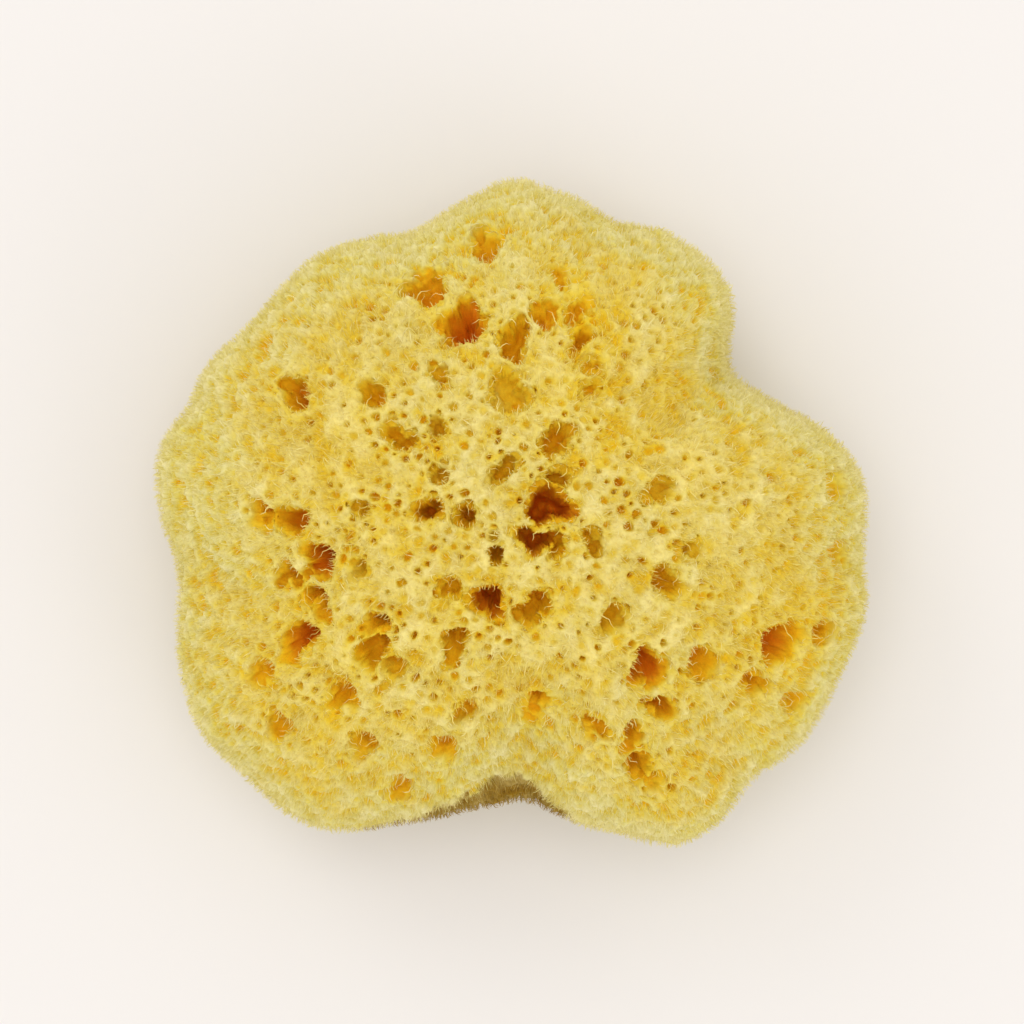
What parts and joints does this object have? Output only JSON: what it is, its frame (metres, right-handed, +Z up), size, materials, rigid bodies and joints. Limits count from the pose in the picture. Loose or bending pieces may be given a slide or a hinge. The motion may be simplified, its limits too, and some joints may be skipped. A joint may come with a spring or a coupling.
{
  "type": "sea sponge",
  "caption": "Dried natural sea sponge: a lobed, fibrous dome with open oscula, cut flat at the base for bathing or display.",
  "frame": {"origin": "middle of the flat cut base, below the centre of the plan's bounding box", "axes": "+Z up from the cut base through the crown, +X to the right and +Y away from the viewer as the picture looks down on it"},
  "size_m": [0.14, 0.1312, 0.076],
  "materials": {
    "sponge": null
  },
  "bodies": {
    "root": {"sea_sponge": "sponge"}
  },
  "joints": []
}
